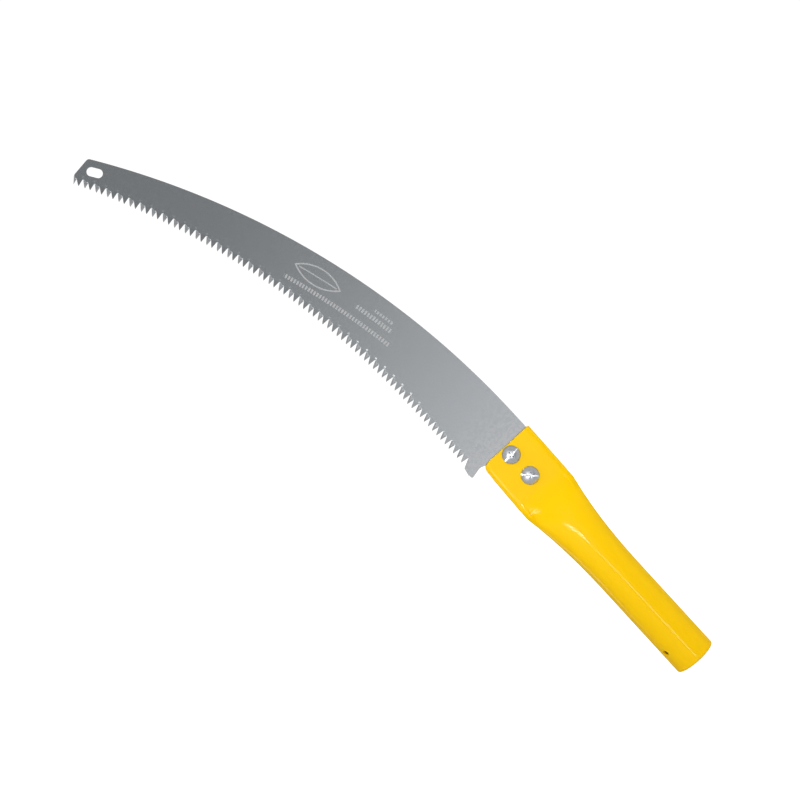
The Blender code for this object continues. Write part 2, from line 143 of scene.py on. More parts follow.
# --- finer detail than the CAD's ---
SECTION_POINTS = 144
TRIM_RUN = 14.0 * MM  # how far below the mouth the rings start to follow its corners
RIM_FILLET = 0.45 * MM
END_FILLET = 0.9 * MM  # the open end's outer edge
WIDTH_ROUNDING = 2.0 * MM  # half the height over which the outline's bends are rounded
CREASE_CENTRE = Vector((-14.9, 144.6)) * MM
CREASE_HALF_LENGTH = 2.6 * MM
CREASE_WIDTH = 0.55 * MM
CREASE_DEPTH = 0.12 * MM
CREASE_END = 1.2 * MM  # how far in from its ends the crease fades
FOLD_LINE = (-17.9 * MM, -16.1 * MM)  # X of the painted highlight line along the flat's fold, low and high
TOOTH_BEVEL = 0.85 * MM  # how far a ground flank slants in, across the blade's thickness
GULLET_BEVEL = 0.4 * MM
EDGE_CHAMFER = 0.12 * MM
TOOTH_SET = 0.28 * MM  # sideways bend of a tooth's point, alternate teeth to either side
ETCH_EDGE = 0.15 * MM  # softness of the etched mark's edges
FLECK_LAG = 0.7 * MM  # how far the painted glint flecks lie below their teeth
FLECK_INSET = 1.9 * MM  # and how far in from the gullets
FLECK_REACH = (0.85 * MM, 0.65 * MM)  # half a fleck's length and width
BACK_STEPS = 160
THREAD_PITCH = 1.0 * MM
THREAD_DEPTH = 0.58 * MM
HOLE_STEPS = 48
TURNED_STEPS = 96


# --- camera and studio ---
CAMERA_AIM = Vector((-29.3, 0.0, 259.1)) * MM
CAMERA_DISTANCE = 1.02
WIDTH_SEEN = 533.5 * MM  # at the blade
CAMERA_ROLL = math.radians(42.5)  # the tip of the blade lies upper left
VIEW_RIGHT = Vector((math.cos(CAMERA_ROLL), 0.0, -math.sin(CAMERA_ROLL)))
VIEW_UP = Vector((math.sin(CAMERA_ROLL), 0.0, math.cos(CAMERA_ROLL)))
TO_CAMERA = Vector((0.0, -1.0, 0.0))
BEHIND_LEVEL = 0.45  # radiance of the studio behind the object
STRIP_TILT = math.radians(-7.0)


# --- mesh helpers ---
def add_object(name, bm, materials, sharp_degrees=32.0):
    """Makes a mesh object from bm, smooth but for edges sharper than the angle."""
    bmesh.ops.recalc_face_normals(bm, faces=bm.faces)
    mesh = bpy.data.meshes.new(name)
    bm.to_mesh(mesh)
    bm.free()
    obj = bpy.data.objects.new(name, mesh)
    bpy.context.scene.collection.objects.link(obj)
    for made in materials:
        mesh.materials.append(made)
    mesh.shade_smooth()
    mesh.set_sharp_from_angle(angle=math.radians(sharp_degrees))
    return obj


def settle(obj, sharp_degrees=32.0):
    """Applies the object's modifiers to its mesh."""
    graph = bpy.context.evaluated_depsgraph_get()
    mesh = bpy.data.meshes.new_from_object(obj.evaluated_get(graph))
    obj.modifiers.clear()
    obj.data = mesh
    mesh.shade_smooth()
    mesh.set_sharp_from_angle(angle=math.radians(sharp_degrees))
    return obj


def cut(obj, tool, operation="DIFFERENCE"):
    """Combines obj with the tool object, and removes the tool."""
    modifier = obj.modifiers.new("cut", "BOOLEAN")
    modifier.operation = operation
    modifier.object = tool
    modifier.solver = "EXACT"
    settle(obj)
    bpy.data.objects.remove(tool, do_unlink=True)


def soften(obj, width, segments=2, degrees=35.0):
    """Rounds the object's edges by width."""
    modifier = obj.modifiers.new("soften", "BEVEL")
    modifier.width = width
    modifier.segments = segments
    modifier.limit_method = "ANGLE"
    modifier.angle_limit = math.radians(degrees)
    modifier.use_clamp_overlap = True
    settle(obj)


def loft(bm, rings, wrap=False, slot=0):
    """Joins rings of points, each closed, by quads. Returns the rings' vertices."""
    made = [[bm.verts.new(point) for point in ring] for ring in rings]
    pairs = list(zip(made, made[1:]))
    if wrap:
        pairs.append((made[-1], made[0]))
    for low, high in pairs:
        for i in range(len(low)):
            j = (i + 1) % len(low)
            bm.faces.new((low[i], low[j], high[j], high[i])).material_index = slot
    return made


def turned(name, profile, materials, steps=TURNED_STEPS):
    """A solid of revolution about Z, from (radius, height) points."""
    bm = bmesh.new()
    verts = [bm.verts.new((radius, 0.0, height)) for radius, height in profile]
    edges = [bm.edges.new(pair) for pair in zip(verts, verts[1:])]
    bmesh.ops.spin(
        bm,
        geom=verts + edges,
        axis=(0.0, 0.0, 1.0),
        cent=(0.0, 0.0, 0.0),
        angle=2 * math.pi,
        steps=steps,
        use_merge=True,
    )
    bmesh.ops.remove_doubles(bm, verts=bm.verts, dist=0.001 * MM)
    return add_object(name, bm, materials)


def prism(name, size, bottom_scale=1.0):
    """A box centred in X and Y, reaching down from Z = 0, tapered towards its bottom."""
    bm = bmesh.new()
    bmesh.ops.create_cube(bm, size=1.0)
    for vert in bm.verts:
        shrink = bottom_scale if vert.co.z < 0 else 1.0
        x, y, z = vert.co
        vert.co = (x * size[0] * shrink, y * size[1] * shrink, (z - 0.5) * size[2])
    return add_object(name, bm, [])


def smooth(value):
    value = min(1.0, max(0.0, value))
    return value * value * (3 - 2 * value)


def spread(start, end, count):
    """count + 1 values from start to end."""
    return [start + (end - start) * i / count for i in range(count + 1)]


def arc_points(centre, radius, start, end, count):
    points = []
    for angle in spread(start, end, count):
        points.append(centre + radius * Vector((math.cos(angle), math.sin(angle))))
    return points


def fillet(before, corner, after, radius, count=8):
    """The corner between two straight sides, replaced by an arc of that radius."""
    to_before = (before - corner).normalized()
    to_after = (after - corner).normalized()
    half = to_before.angle(to_after) / 2
    reach = radius / math.tan(half)
    centre = corner + (to_before + to_after).normalized() * radius / math.sin(half)
    start = corner + to_before * reach - centre
    end = corner + to_after * reach - centre
    first = math.atan2(start.y, start.x)
    sweep = math.remainder(math.atan2(end.y, end.x) - first, 2 * math.pi)
    return arc_points(centre, radius, first, first + sweep, count)


# --- node helpers ---
class Graph:
    """A node tree being built. An input is a constant or another node's output."""

    def __init__(self, tree):
        self.tree = tree
        tree.nodes.clear()

    def add(self, kind, inputs=(), **settings):
        node = self.tree.nodes.new(kind)
        for name, value in settings.items():
            setattr(node, name, value)
        for name, value in dict(inputs).items():
            if isinstance(value, bpy.types.NodeSocket):
                self.tree.links.new(value, node.inputs[name])
            else:
                node.inputs[name].default_value = value
        return node

    def math(self, operation, *values, clamp=False):
        node = self.add("ShaderNodeMath", enumerate(values), operation=operation)
        node.use_clamp = clamp
        return node.outputs[0]

    def product(self, first, *others):
        for other in others:
            first = self.math("MULTIPLY", first, other)
        return first

    def ramp(self, value, start, end, low=0.0, high=1.0, soft=True):
        """Low below start and high above end, with a smooth or straight rise between."""
        inputs = {"Value": value, "From Min": start, "From Max": end}
        inputs.update({"To Min": low, "To Max": high})
        kind = "SMOOTHSTEP" if soft else "LINEAR"
        node = self.add("ShaderNodeMapRange", inputs, interpolation_type=kind)
        return node.outputs["Result"]

    def noise(self, vector, scale, detail=2.0, roughness=0.5):
        inputs = {"Vector": vector, "Scale": scale, "Detail": detail}
        inputs["Roughness"] = roughness
        return self.add("ShaderNodeTexNoise", inputs).outputs["Fac"]

    def stretch(self, vector, scale):
        node = self.add("ShaderNodeVectorMath", {0: vector, 1: scale}, operation="MULTIPLY")
        return node.outputs[0]

    def mix(self, share, first, second):
        inputs = {"Factor": share, "A": first, "B": second}
        node = self.tree.nodes.new("ShaderNodeMix")
        node.data_type = "RGBA"
        for name, value in inputs.items():
            socket = next(
                s for s in node.inputs if s.name == name and s.enabled and not s.hide
            )
            if isinstance(value, bpy.types.NodeSocket):
                self.tree.links.new(value, socket)
            else:
                socket.default_value = value
        return next(s for s in node.outputs if s.enabled)

    def bump(self, height, distance, strength=1.0):
        inputs = {"Height": height, "Distance": distance, "Strength": strength}
        return self.add("ShaderNodeBump", inputs).outputs["Normal"]

    def surface(self, **inputs):
        """The Principled shader and the output node, with inputs named as in its panel."""
        named = {key.replace("_", " "): value for key, value in inputs.items()}
        shader = self.add("ShaderNodeBsdfPrincipled", named)
        self.add("ShaderNodeOutputMaterial", {"Surface": shader.outputs[0]})
        return shader


def new_material(name):
    made = bpy.data.materials.new(name)
    made.use_nodes = True
    return made, Graph(made.node_tree)


def grey(value):
    return (value, value, value, 1.0)


# --- materials ---
def yellow_paint():
    """Glossy powder coat: a little orange peel, slow waviness and thin tone changes. It is dull
    where the die pressed it, and painted paler along the crease and the cutting side's fold as a
    painted highlight."""
    made, graph = new_material("yellow_paint")
    place = graph.add("ShaderNodeTexCoord").outputs["Object"]
    tone = graph.noise(place, 45.0, 3.0)
    speck = graph.noise(place, 1400.0, 2.0)
    base = graph.mix(tone, (0.985, 0.59, 0.001, 1.0), (1.0, 0.612, 0.002, 1.0))
    base = graph.mix(graph.ramp(speck, 0.62, 0.80, 0.0, 0.10), base, (0.85, 0.48, 0.005, 1.0))
    split = graph.add("ShaderNodeSeparateXYZ", {"Vector": place}).outputs
    # Painted highlight: a paler yellow on the crease and along the cutting side's fold, in place
    # of their reflections.
    painted_highlight = graph.product(
        stripe(graph, split["X"], CREASE_CENTRE.x, CREASE_HALF_LENGTH, CREASE_END),
        stripe(graph, split["Z"], CREASE_CENTRE.y - 0.1 * MM, 0.45 * MM, 0.35 * MM),
    )
    painted_highlight = graph.math("MULTIPLY", painted_highlight, 0.7)
    fold_x = graph.ramp(split["Z"], FLAT_START, SOCKET_LENGTH, *FOLD_LINE, soft=False)
    up_flat = graph.math("SUBTRACT", split["Z"], FLAT_START)
    fold_highlight = graph.product(
        stripe(graph, graph.math("SUBTRACT", split["X"], fold_x), 0.0, 0.45 * MM, 0.4 * MM),
        graph.ramp(up_flat, 2.5 * MM, 34.5 * MM, 0.20, 0.56),
        graph.ramp(up_flat, 2.5 * MM, 7.5 * MM),
        graph.ramp(up_flat, 37.5 * MM, 42.5 * MM, 1.0, 0.0),
    )
    painted_highlight = graph.math("MAXIMUM", painted_highlight, fold_highlight)
    pressed = graph.product(
        graph.ramp(up_flat, -10.5 * MM, -5.5 * MM),
        graph.ramp(up_flat, 5.5 * MM, 12.5 * MM, 1.0, 0.0),
    )
    front = graph.math("LESS_THAN", split["Y"], 0.0)
    base = graph.mix(graph.product(painted_highlight, front), base, (1.0, 0.72, 0.13, 1.0))
    peel = graph.bump(graph.noise(place, 650.0, 2.0), 0.000012)
    inputs = {"Height": graph.noise(place, 42.0, 1.0), "Distance": 0.00025}
    inputs["Normal"] = peel
    waves = graph.add("ShaderNodeBump", inputs).outputs["Normal"]
    graph.surface(
        Base_Color=base,
        Roughness=graph.ramp(speck, 0.3, 0.7, 0.36, 0.42),
        Coat_Weight=graph.math("MULTIPLY_ADD", pressed, -0.15, 0.25),
        Coat_Roughness=0.10,
        Specular_IOR_Level=0.0,
        Normal=waves,
    )
    return made


def socket_inside():
    """Bare steel inside the tube, with paint that drifted in at the open end."""
    made, graph = new_material("socket_inside")
    place = graph.add("ShaderNodeTexCoord").outputs["Object"]
    height = graph.add("ShaderNodeSeparateXYZ", {"Vector": place}).outputs["Z"]
    cloud = graph.noise(place, 160.0, 4.0, 0.6)
    drift = graph.math("MULTIPLY_ADD", cloud, 30.0 * MM, graph.math("MULTIPLY", height, -1.0))
    paint = graph.ramp(drift, -22.0 * MM, 10.0 * MM)
    steel = graph.mix(cloud, (0.16, 0.15, 0.14, 1.0), (0.30, 0.28, 0.25, 1.0))
    graph.surface(
        Base_Color=graph.mix(paint, steel, (0.85, 0.48, 0.01, 1.0)),
        Roughness=graph.ramp(cloud, 0.3, 0.7, 0.45, 0.65),
        Metallic=graph.math("SUBTRACT", 0.8, graph.math("MULTIPLY", paint, 0.8)),
        Normal=graph.bump(cloud, 0.00008),
    )
    return made


def arc_coordinates(graph, place, centre, radius):
    """Distance along an arc that runs straight below its centre's height, and distance
    out from it, in metres."""
    split = graph.add("ShaderNodeSeparateXYZ", {"Vector": place})
    x = graph.math("SUBTRACT", split.outputs["X"], centre.x)
    z = graph.math("SUBTRACT", split.outputs["Z"], centre.y)
    above = graph.math("MAXIMUM", z, 0.0)
    below = graph.math("MINIMUM", z, 0.0)
    angle = graph.math("ARCTAN2", above, x)
    along = graph.math("MULTIPLY_ADD", angle, radius, below)
    square = graph.math("MULTIPLY_ADD", x, x, graph.math("MULTIPLY", above, above))
    return along, graph.math("SUBTRACT", graph.math("SQRT", square), radius)


def stripe(graph, value, centre, half_width, edge=ETCH_EDGE):
    """1 within half_width of centre, 0 outside, with a soft edge."""
    away = graph.math("ABSOLUTE", graph.math("SUBTRACT", value, centre))
    return graph.ramp(away, half_width - edge, half_width + edge, 1.0, 0.0)


def leaf(graph, along, across, centre, half_length, half_width):
    """1 inside a pointed leaf shape: the overlap of two circles."""
    radius = (half_length**2 + half_width**2) / (2 * half_width)
    x = graph.math("SUBTRACT", along, centre[0])
    square = graph.math("MULTIPLY", x, x)
    inside = []
    for side in (-1.0, 1.0):
        y = graph.math("SUBTRACT", across, centre[1] + side * (radius - half_width))
        away = graph.math("SQRT", graph.math("MULTIPLY_ADD", y, y, square))
        inside.append(graph.ramp(away, radius - ETCH_EDGE, radius + ETCH_EDGE, 1.0, 0.0))
    return graph.product(*inside)


def etched_mark(graph, along, across):
    """A plain etched mark: a leaf with its rib, and rows of ticks that follow the blade."""
    spot = (161.0 * MM, 13.2 * MM)  # along the blade, and in from its back
    outer = leaf(graph, along, across, spot, 18.5 * MM, 6.4 * MM)
    inner = leaf(graph, along, across, spot, 16.9 * MM, 5.5 * MM)
    rib = graph.product(
        stripe(graph, across, spot[1], 0.35 * MM),
        stripe(graph, along, spot[0], 15.0 * MM),
    )
    found = graph.math("MAXIMUM", graph.math("SUBTRACT", outer, inner), rib)
    pitch = 2.3 * MM
    offset = graph.math("SUBTRACT", along, 94.0 * MM)
    ticks = stripe(graph, graph.math("WRAP", offset, pitch, 0.0), pitch / 2, 0.66 * MM)
    # middle and half length along the blade, depth from its back and half height, in mm
    rows = ((138.0, 44.0, 23.4, 1.35), (113.5, 15.5, 15.4, 1.45), (108.5, 7.5, 10.6, 0.95))
    for middle, half_length, depth, half_height in rows:
        row = graph.product(
            stripe(graph, across, depth * MM, half_height * MM),
            stripe(graph, along, middle * MM, half_length * MM),
            ticks,
        )
        found = graph.math("MAXIMUM", found, row)
    return graph.math("MINIMUM", found, 1.0)


def bevel_glint_flecks(graph, place):
    """Painted highlights: bright flecks beyond every second gullet, strongest near the heel,
    standing in for glints off the teeth's ground bevels.
    """
    run, depth = arc_coordinates(graph, place, TEETH_CENTRE, TEETH_RADIUS)
    first = FIRST_TOOTH_HEIGHT - TEETH_CENTRE.y - FLECK_LAG - TOOTH_PITCH
    offset = graph.math("SUBTRACT", run, first)
    lengthwise = graph.math("WRAP", offset, 2 * TOOTH_PITCH, 0.0)
    lengthwise = graph.math("SUBTRACT", lengthwise, TOOTH_PITCH)
    lengthwise = graph.math("DIVIDE", lengthwise, FLECK_REACH[0])
    inward = graph.math("SUBTRACT", depth, GULLET_DEPTHS[0] + FLECK_INSET)
    inward = graph.math("DIVIDE", inward, FLECK_REACH[1])
    away = graph.math("MULTIPLY", lengthwise, lengthwise)
    away = graph.math("MULTIPLY_ADD", inward, inward, away)
    return graph.product(
        graph.ramp(away, 0.4, 1.4, 1.0, 0.0),
        graph.ramp(run, -8.0 * MM, 3.0 * MM),
        graph.ramp(run, 50.0 * MM, 80.0 * MM, 0.8, 0.10),
    )


def blade_steel():
    """Satin blade steel, ground across the blade, mottled and warmer towards the heel,
    with an etched mark on the front face."""
    made, graph = new_material("blade_steel")
    place = graph.add("ShaderNodeTexCoord").outputs["Object"]
    along, outward = arc_coordinates(graph, place, BACK_CENTRE, BACK_RADIUS)
    across = graph.math("MULTIPLY", outward, -1.0)
    grain_place = graph.add("ShaderNodeCombineXYZ", {"X": along, "Y": across})
    grain = graph.noise(
        graph.stretch(grain_place.outputs[0], (5200.0, 170.0, 0.0)), 1.0, 3.0, 0.6
    )
    mottle = graph.noise(place, 560.0, 3.0, 0.6)
    cloud = graph.noise(place, 38.0, 2.0)
    at_heel = graph.ramp(along, -5.0 * MM, 28.0 * MM, 1.0, 0.15)
    speckle = graph.math("MULTIPLY", graph.ramp(mottle, 0.36, 0.64, -0.5, 0.5), at_heel)
    tone = graph.math("MULTIPLY_ADD", speckle, 0.19, 0.50)
    tone = graph.math("MULTIPLY_ADD", graph.math("SUBTRACT", cloud, 0.5), 0.05, tone)
    tone = graph.math("MULTIPLY_ADD", graph.math("SUBTRACT", grain, 0.5), 0.05, tone)
    steel = graph.mix(tone, (0.376, 0.396, 0.411, 1.0), (0.641, 0.658, 0.671, 1.0))
    warm = graph.ramp(along, -30.0 * MM, 30.0 * MM, 1.0, 0.0)
    warm = graph.math("MULTIPLY", warm, graph.ramp(mottle, 0.35, 0.65, 0.15, 0.60))
    steel = graph.mix(warm, steel, (0.565, 0.538, 0.532, 1.0))
    front = graph.add("ShaderNodeSeparateXYZ", {"Vector": place}).outputs["Y"]
    mark = graph.product(etched_mark(graph, along, across), graph.math("LESS_THAN", front, 0.0))
    # Painted highlights: bright flecks near the heel for the glints off the ground bevels.
    flecks = bevel_glint_flecks(graph, place)
    steel = graph.mix(flecks, steel, grey(0.80))
    rough = graph.ramp(grain, 0.3, 0.7, 0.18, 0.24)
    rough = graph.math("MULTIPLY_ADD", speckle, 0.08, rough)
    graph.surface(
        Base_Color=graph.mix(mark, steel, grey(0.82)),
        Roughness=graph.math("MULTIPLY_ADD", mark, 0.30, rough),
        Metallic=graph.math("MULTIPLY_ADD", flecks, -0.7, 1.0),
        Normal=graph.bump(grain, 0.0000025, 0.6),
    )
    return made


def ground_steel():
    """The bright, freshly ground flanks of the teeth, with the grinder's fine lines."""
    made, graph = new_material("ground_steel")
    place = graph.add("ShaderNodeTexCoord").outputs["Object"]
    lines = graph.noise(graph.stretch(place, (900.0, 2500.0, 6500.0)), 1.0, 2.0)
    graph.surface(
        Base_Color=graph.mix(lines, (0.60, 0.615, 0.63, 1.0), (0.80, 0.81, 0.82, 1.0)),
        Roughness=graph.ramp(lines, 0.3, 0.7, 0.22, 0.34),
        Metallic=1.0,
        Normal=graph.bump(lines, 0.000004, 0.8),
    )
    return made


def zinc_plate():
    """Bright zinc: cool white and faintly spangled, with painted shade: darker and duller low on
    the screws' heads and in their slots."""
    made, graph = new_material("zinc_plate")
    place = graph.add("ShaderNodeTexCoord").outputs["Object"]
    cells = graph.noise(place, 1500.0, 3.0, 0.6)
    cloud = graph.noise(place, 260.0, 2.0)
    depth = graph.add("ShaderNodeSeparateXYZ", {"Vector": place}).outputs["Y"]
    # Painted shade: darker, rougher zinc low on the screws' heads and in their slots, where
    # shade falls.
    recess_shade = graph.product(
        graph.ramp(depth, SEAT_Y - 1.7 * MM, SEAT_Y - 1.1 * MM),
        graph.ramp(depth, SEAT_Y + 0.2 * MM, SEAT_Y + 0.6 * MM, 1.0, 0.0),
    )
    plate = graph.mix(cells, (0.56, 0.58, 0.61, 1.0), (0.76, 0.77, 0.79, 1.0))
    rough = graph.ramp(cloud, 0.3, 0.7, 0.20, 0.32)
    graph.surface(
        Base_Color=graph.mix(recess_shade, plate, (0.43, 0.445, 0.46, 1.0)),
        Roughness=graph.math("MULTIPLY_ADD", recess_shade, 0.08, rough),
        Metallic=1.0,
        Normal=graph.bump(cells, 0.000010, 0.7),
    )
    return made


# --- socket ---
def averaged(shape, z, reach):
    """The mean of shape over heights within reach of z, kept on the socket."""
    reach = min(reach, z, SOCKET_LENGTH - z)
    samples = [shape(z + offset) for offset in spread(-reach, reach, 8)]
    return sum(samples) / len(samples)


def pressed_width(z):
    """Half the tube's width at a height: round, then widening, then the flat."""
    if z <= ROUND_LENGTH:
        return TUBE_RADIUS
    if z < FLAT_START:
        pressed = ((z - ROUND_LENGTH) / (FLAT_START - ROUND_LENGTH)) ** PRESS_CURVE
        return TUBE_RADIUS + (FLAT_HALF_WIDTHS[0] - TUBE_RADIUS) * pressed
    share = (z - FLAT_START) / (SOCKET_LENGTH - FLAT_START)
    return FLAT_HALF_WIDTHS[0] + (FLAT_HALF_WIDTHS[1] - FLAT_HALF_WIDTHS[0]) * share


def pressed_thickness(z):
    """Half the thickness that keeps the tube's girth: as the square of the width rises,
    the square of the thickness falls in proportion."""
    if z >= FLAT_START:
        return FOLD_RADIUS
    widened = pressed_width(z) ** 2 - TUBE_RADIUS**2
    share = widened / (FLAT_HALF_WIDTHS[0] ** 2 - TUBE_RADIUS**2)
    return math.sqrt(TUBE_RADIUS**2 + (FOLD_RADIUS**2 - TUBE_RADIUS**2) * share)


def sideways_shift(z):
    """How far the section's middle lies towards the blade's back."""
    if z < FLAT_START:
        widened = (pressed_width(z) - TUBE_RADIUS) / (FLAT_HALF_WIDTHS[0] - TUBE_RADIUS)
        return FLAT_SHIFTS[0] * widened
    share = (z - FLAT_START) / (SOCKET_LENGTH - FLAT_START)
    return FLAT_SHIFTS[0] + (FLAT_SHIFTS[1] - FLAT_SHIFTS[0]) * share


def stadium_point(half_length, radius, share):
    """A point of a stadium, at a share of its perimeter from its +X end, anticlockwise."""
    straight = half_length - radius
    quarter_arc = math.pi / 2 * radius
    quarter_length = straight + quarter_arc
    side = share * 4
    along = (side % 1.0) * quarter_length
    if int(side) % 2:
        along = quarter_length - along
    if along < quarter_arc:
        angle = along / radius
        x = straight + radius * math.cos(angle)
        y = radius * math.sin(angle)
    else:
        x = straight - (along - quarter_arc)
        y = radius
    quarter = int(side) % 4
    return x if quarter in (0, 3) else -x, y if quarter < 2 else -y


def mouth_drop(x):
    """How far the mouth's edge lies below the socket's top, at its rounded corners."""
    edges = (FLAT_SHIFTS[1] - FLAT_HALF_WIDTHS[1], FLAT_SHIFTS[1] + FLAT_HALF_WIDTHS[1])
    drop = 0.0
    for away, radius in zip((x - edges[0], edges[1] - x), MOUTH_CORNERS):
        if away < radius:
            chord = radius - max(0.0, away)
            drop = radius - math.sqrt(max(0.0, radius**2 - chord**2))
    return drop


def crease(x, z):
    """Depth of the short mark that the press left at the start of the flat."""
    along = smooth((CREASE_HALF_LENGTH - abs(x - CREASE_CENTRE.x)) / CREASE_END)
    away = (z - CREASE_CENTRE.y) / CREASE_WIDTH
    return CREASE_DEPTH * along * (math.exp(-away * away) - 0.6 * math.exp(-((away - 1.6) ** 2)))


def socket_ring(z, inset):
    """The tube's outline at a height, moved in from the outer skin by inset: an oval low
    down, and in the flat a stadium with sloping folds and a slightly sunk middle."""
    width = averaged(pressed_width, z, WIDTH_ROUNDING)
    thickness = averaged(pressed_thickness, z, DIE_ROUNDING)
    shift = averaged(sideways_shift, z, WIDTH_ROUNDING)
    flatness = smooth((z - FLAT_START) / OVAL_RUN + 0.5)
    crest = width - FOLD_RUN
    outer_share = 1 - inset / TUBE_WALL
    trimming = smooth((z - SOCKET_LENGTH) / TRIM_RUN + 1.0)
    ring = []
    for i in range(SECTION_POINTS):
        share = i / SECTION_POINTS
        x, y = stadium_point(width - inset, thickness - inset, share)
        angle = 2 * math.pi * share
        x += ((width - inset) * math.cos(angle) - x) * (1 - flatness)
        y += ((thickness - inset) * math.sin(angle) - y) * (1 - flatness)
        sunk = flatness * smooth((crest - abs(x)) / WEB_BLEND)
        side = math.copysign(1.0, y)
        if abs(x) > crest:
            slope = min(1.0, (abs(x) - crest) / FOLD_RUN)
            eased = side * thickness * math.sqrt(1 - slope**2)
            y += (eased - y) * flatness * outer_share
        y -= side * WEB_SINK * sunk
        if inset < TUBE_WALL / 2 and side < 0:
            y += crease(x + shift, z)
        ring.append((x + shift, y, z - trimming * mouth_drop(x + shift)))
    return ring


def socket_heights():
    """Heights of the outer rings, closest where the shape changes fastest."""
    heights = spread(END_FILLET, 3.0 * MM, 3)[:-1]
    heights += spread(3.0 * MM, ROUND_LENGTH - DIE_ROUNDING, 16)[:-1]
    heights += spread(ROUND_LENGTH - DIE_ROUNDING, FLAT_START - 14.0 * MM, 36)[:-1]
    heights += spread(FLAT_START - 14.0 * MM, FLAT_START - 2.0 * MM, 16)[:-1]
    heights += spread(FLAT_START - 2.0 * MM, FLAT_START + 3.0 * MM, 26)[:-1]
    heights += spread(FLAT_START + 3.0 * MM, FLAT_START + 14.0 * MM, 14)[:-1]
    heights += spread(FLAT_START + 14.0 * MM, SOCKET_LENGTH - TRIM_RUN, 8)[:-1]
    heights += spread(SOCKET_LENGTH - TRIM_RUN, SOCKET_LENGTH - RIM_FILLET, 16)
    return heights


def rim_path(z_flat, direction, outer_fillet):
    """(height, inset) across the wall's end, from the outer skin to the inner one."""
    path = []
    for angle in spread(0.0, math.pi / 2, 4)[1:]:
        inset = outer_fillet * (1 - math.cos(angle))
        path.append((z_flat - direction * outer_fillet * (1 - math.sin(angle)), inset))
    for angle in spread(math.pi / 2, 0.0, 4)[:-1]:
        inset = RIM_FILLET * (1 - math.cos(angle))
        height = z_flat - direction * RIM_FILLET * (1 - math.sin(angle))
        path.append((height, TUBE_WALL - inset))
    return path


def build_socket(outside, inside):
    """The tube's wall as one closed loft: up the outer skin, over the mouth, down inside."""
    outer = [socket_ring(z, 0.0) for z in socket_heights()]
    mouth = [socket_ring(z, inset) for z, inset in rim_path(SOCKET_LENGTH, 1.0, RIM_FILLET)]
    inner = [socket_ring(z, TUBE_WALL) for z in reversed(socket_heights()[::2])]
    end = [socket_ring(z, inset) for z, inset in reversed(rim_path(0.0, -1.0, END_FILLET))]
    bm = bmesh.new()
    loft(bm, outer + mouth + inner + end, wrap=True)
    first_inner = (len(outer) + len(mouth)) * SECTION_POINTS
    bm.faces.ensure_lookup_table()
    for face in bm.faces[first_inner : first_inner + len(inner) * SECTION_POINTS]:
        face.material_index = 1
    socket = add_object("socket_tube", bm, [outside, inside], 50.0)

    for centre in SCREW_PLACES.values():
        reach = 20.0 * MM
        rod = closed_rod(THREAD_RADIUS + GAP, -reach, reach)
        hole = turned("hole", rod, [inside], HOLE_STEPS)
        hole.matrix_world = facing_front(centre, 0.0)
        cut(socket, hole)
    around = Vector((math.cos(POLE_HOLE_ANGLE), math.sin(POLE_HOLE_ANGLE), 0.0))
    rod = closed_rod(POLE_HOLE_RADIUS, -6.0 * MM, 6.0 * MM)
    hole = turned("hole", rod, [outside], HOLE_STEPS)
    place = Matrix.Translation(around * TUBE_RADIUS + Vector((0.0, 0.0, POLE_HOLE_HEIGHT)))
    hole.matrix_world = place @ around.to_track_quat("Z", "Y").to_matrix().to_4x4()
    cut(socket, hole)
    socket.data.set_sharp_from_angle(angle=math.radians(50.0))
    return socket


def closed_rod(radius, bottom, top):
    return [(0.0, top), (radius, top), (radius, bottom), (0.0, bottom)]


def facing_front(centre, turn):
    """Puts local Z on -Y, so that a fastener's head faces the front, turned about it."""
    about_y = Matrix.Rotation(turn, 4, "Y")
    return Matrix.Translation(centre) @ about_y @ Matrix.Rotation(math.pi / 2, 4, "X")


# --- blade ---
class Outline:
    """A closed outline in X and Z. Each point carries the bevels of the edge after it:
    how far that edge moves into the steel on the front face and on the back face."""

    def __init__(self):
        self.points = []
        self.bevels = []
        self.leans = []

    def add(self, points, front=EDGE_CHAMFER, back=EDGE_CHAMFER, lean=0.0):
        for point in points:
            self.points.append(Vector(point))
            self.bevels.append((front, back))
            self.leans.append(lean)

    def moved(self, distances):
        """The outline with each edge moved in by its own distance."""
        count = len(self.points)
        ways = []
        for i in range(count):
            way = (self.points[(i + 1) % count] - self.points[i]).normalized()
            ways.append(way)
        moved = []
        for i in range(count):
            before, after = ways[i - 1], ways[i]
            in_before = Vector((before.y, -before.x)) * distances[i - 1]
            in_after = Vector((after.y, -after.x)) * distances[i]
            turn = before.x * after.y - before.y * after.x
            if abs(turn) < 0.08:
                moved.append(self.points[i] + (in_before + in_after) / 2)
                continue
            gap = in_after - in_before
            step = (gap.x * after.y - gap.y * after.x) / turn
            moved.append(self.points[i] + in_before + before * step)
        return moved

    def rings(self):
        """The outline at four depths: front face, front edge, back edge and back face."""
        half = BLADE_THICKNESS / 2
        depths = (-half, EDGE_CHAMFER - half, half - EDGE_CHAMFER, half)
        rings = []
        for depth in depths:
            share = (depth + half) / BLADE_THICKNESS
            distances = []
            for front, back in self.bevels:
                if front == back:
                    distances.append(front if abs(depth) == half else 0.0)
                else:
                    distances.append(front * (1 - share) + back * share)
            flat = self.moved(distances)
            rings.append(
                [(p.x, depth + lean, p.y) for p, lean in zip(flat, self.leans)]
            )
        return rings


def on_tooth_line(run, depth):
    """A point inside the line of tooth points by depth, at a run along that line."""
    angle = max(0.0, run) / TEETH_RADIUS
    outward = Vector((math.cos(angle), math.sin(angle)))
    return TEETH_CENTRE + (TEETH_RADIUS + depth) * outward + Vector((0.0, min(0.0, run)))


def back_x(z):
    rise = max(0.0, z - BACK_CENTRE.y)
    return BACK_CENTRE.x + math.sqrt(BACK_RADIUS**2 - rise**2)


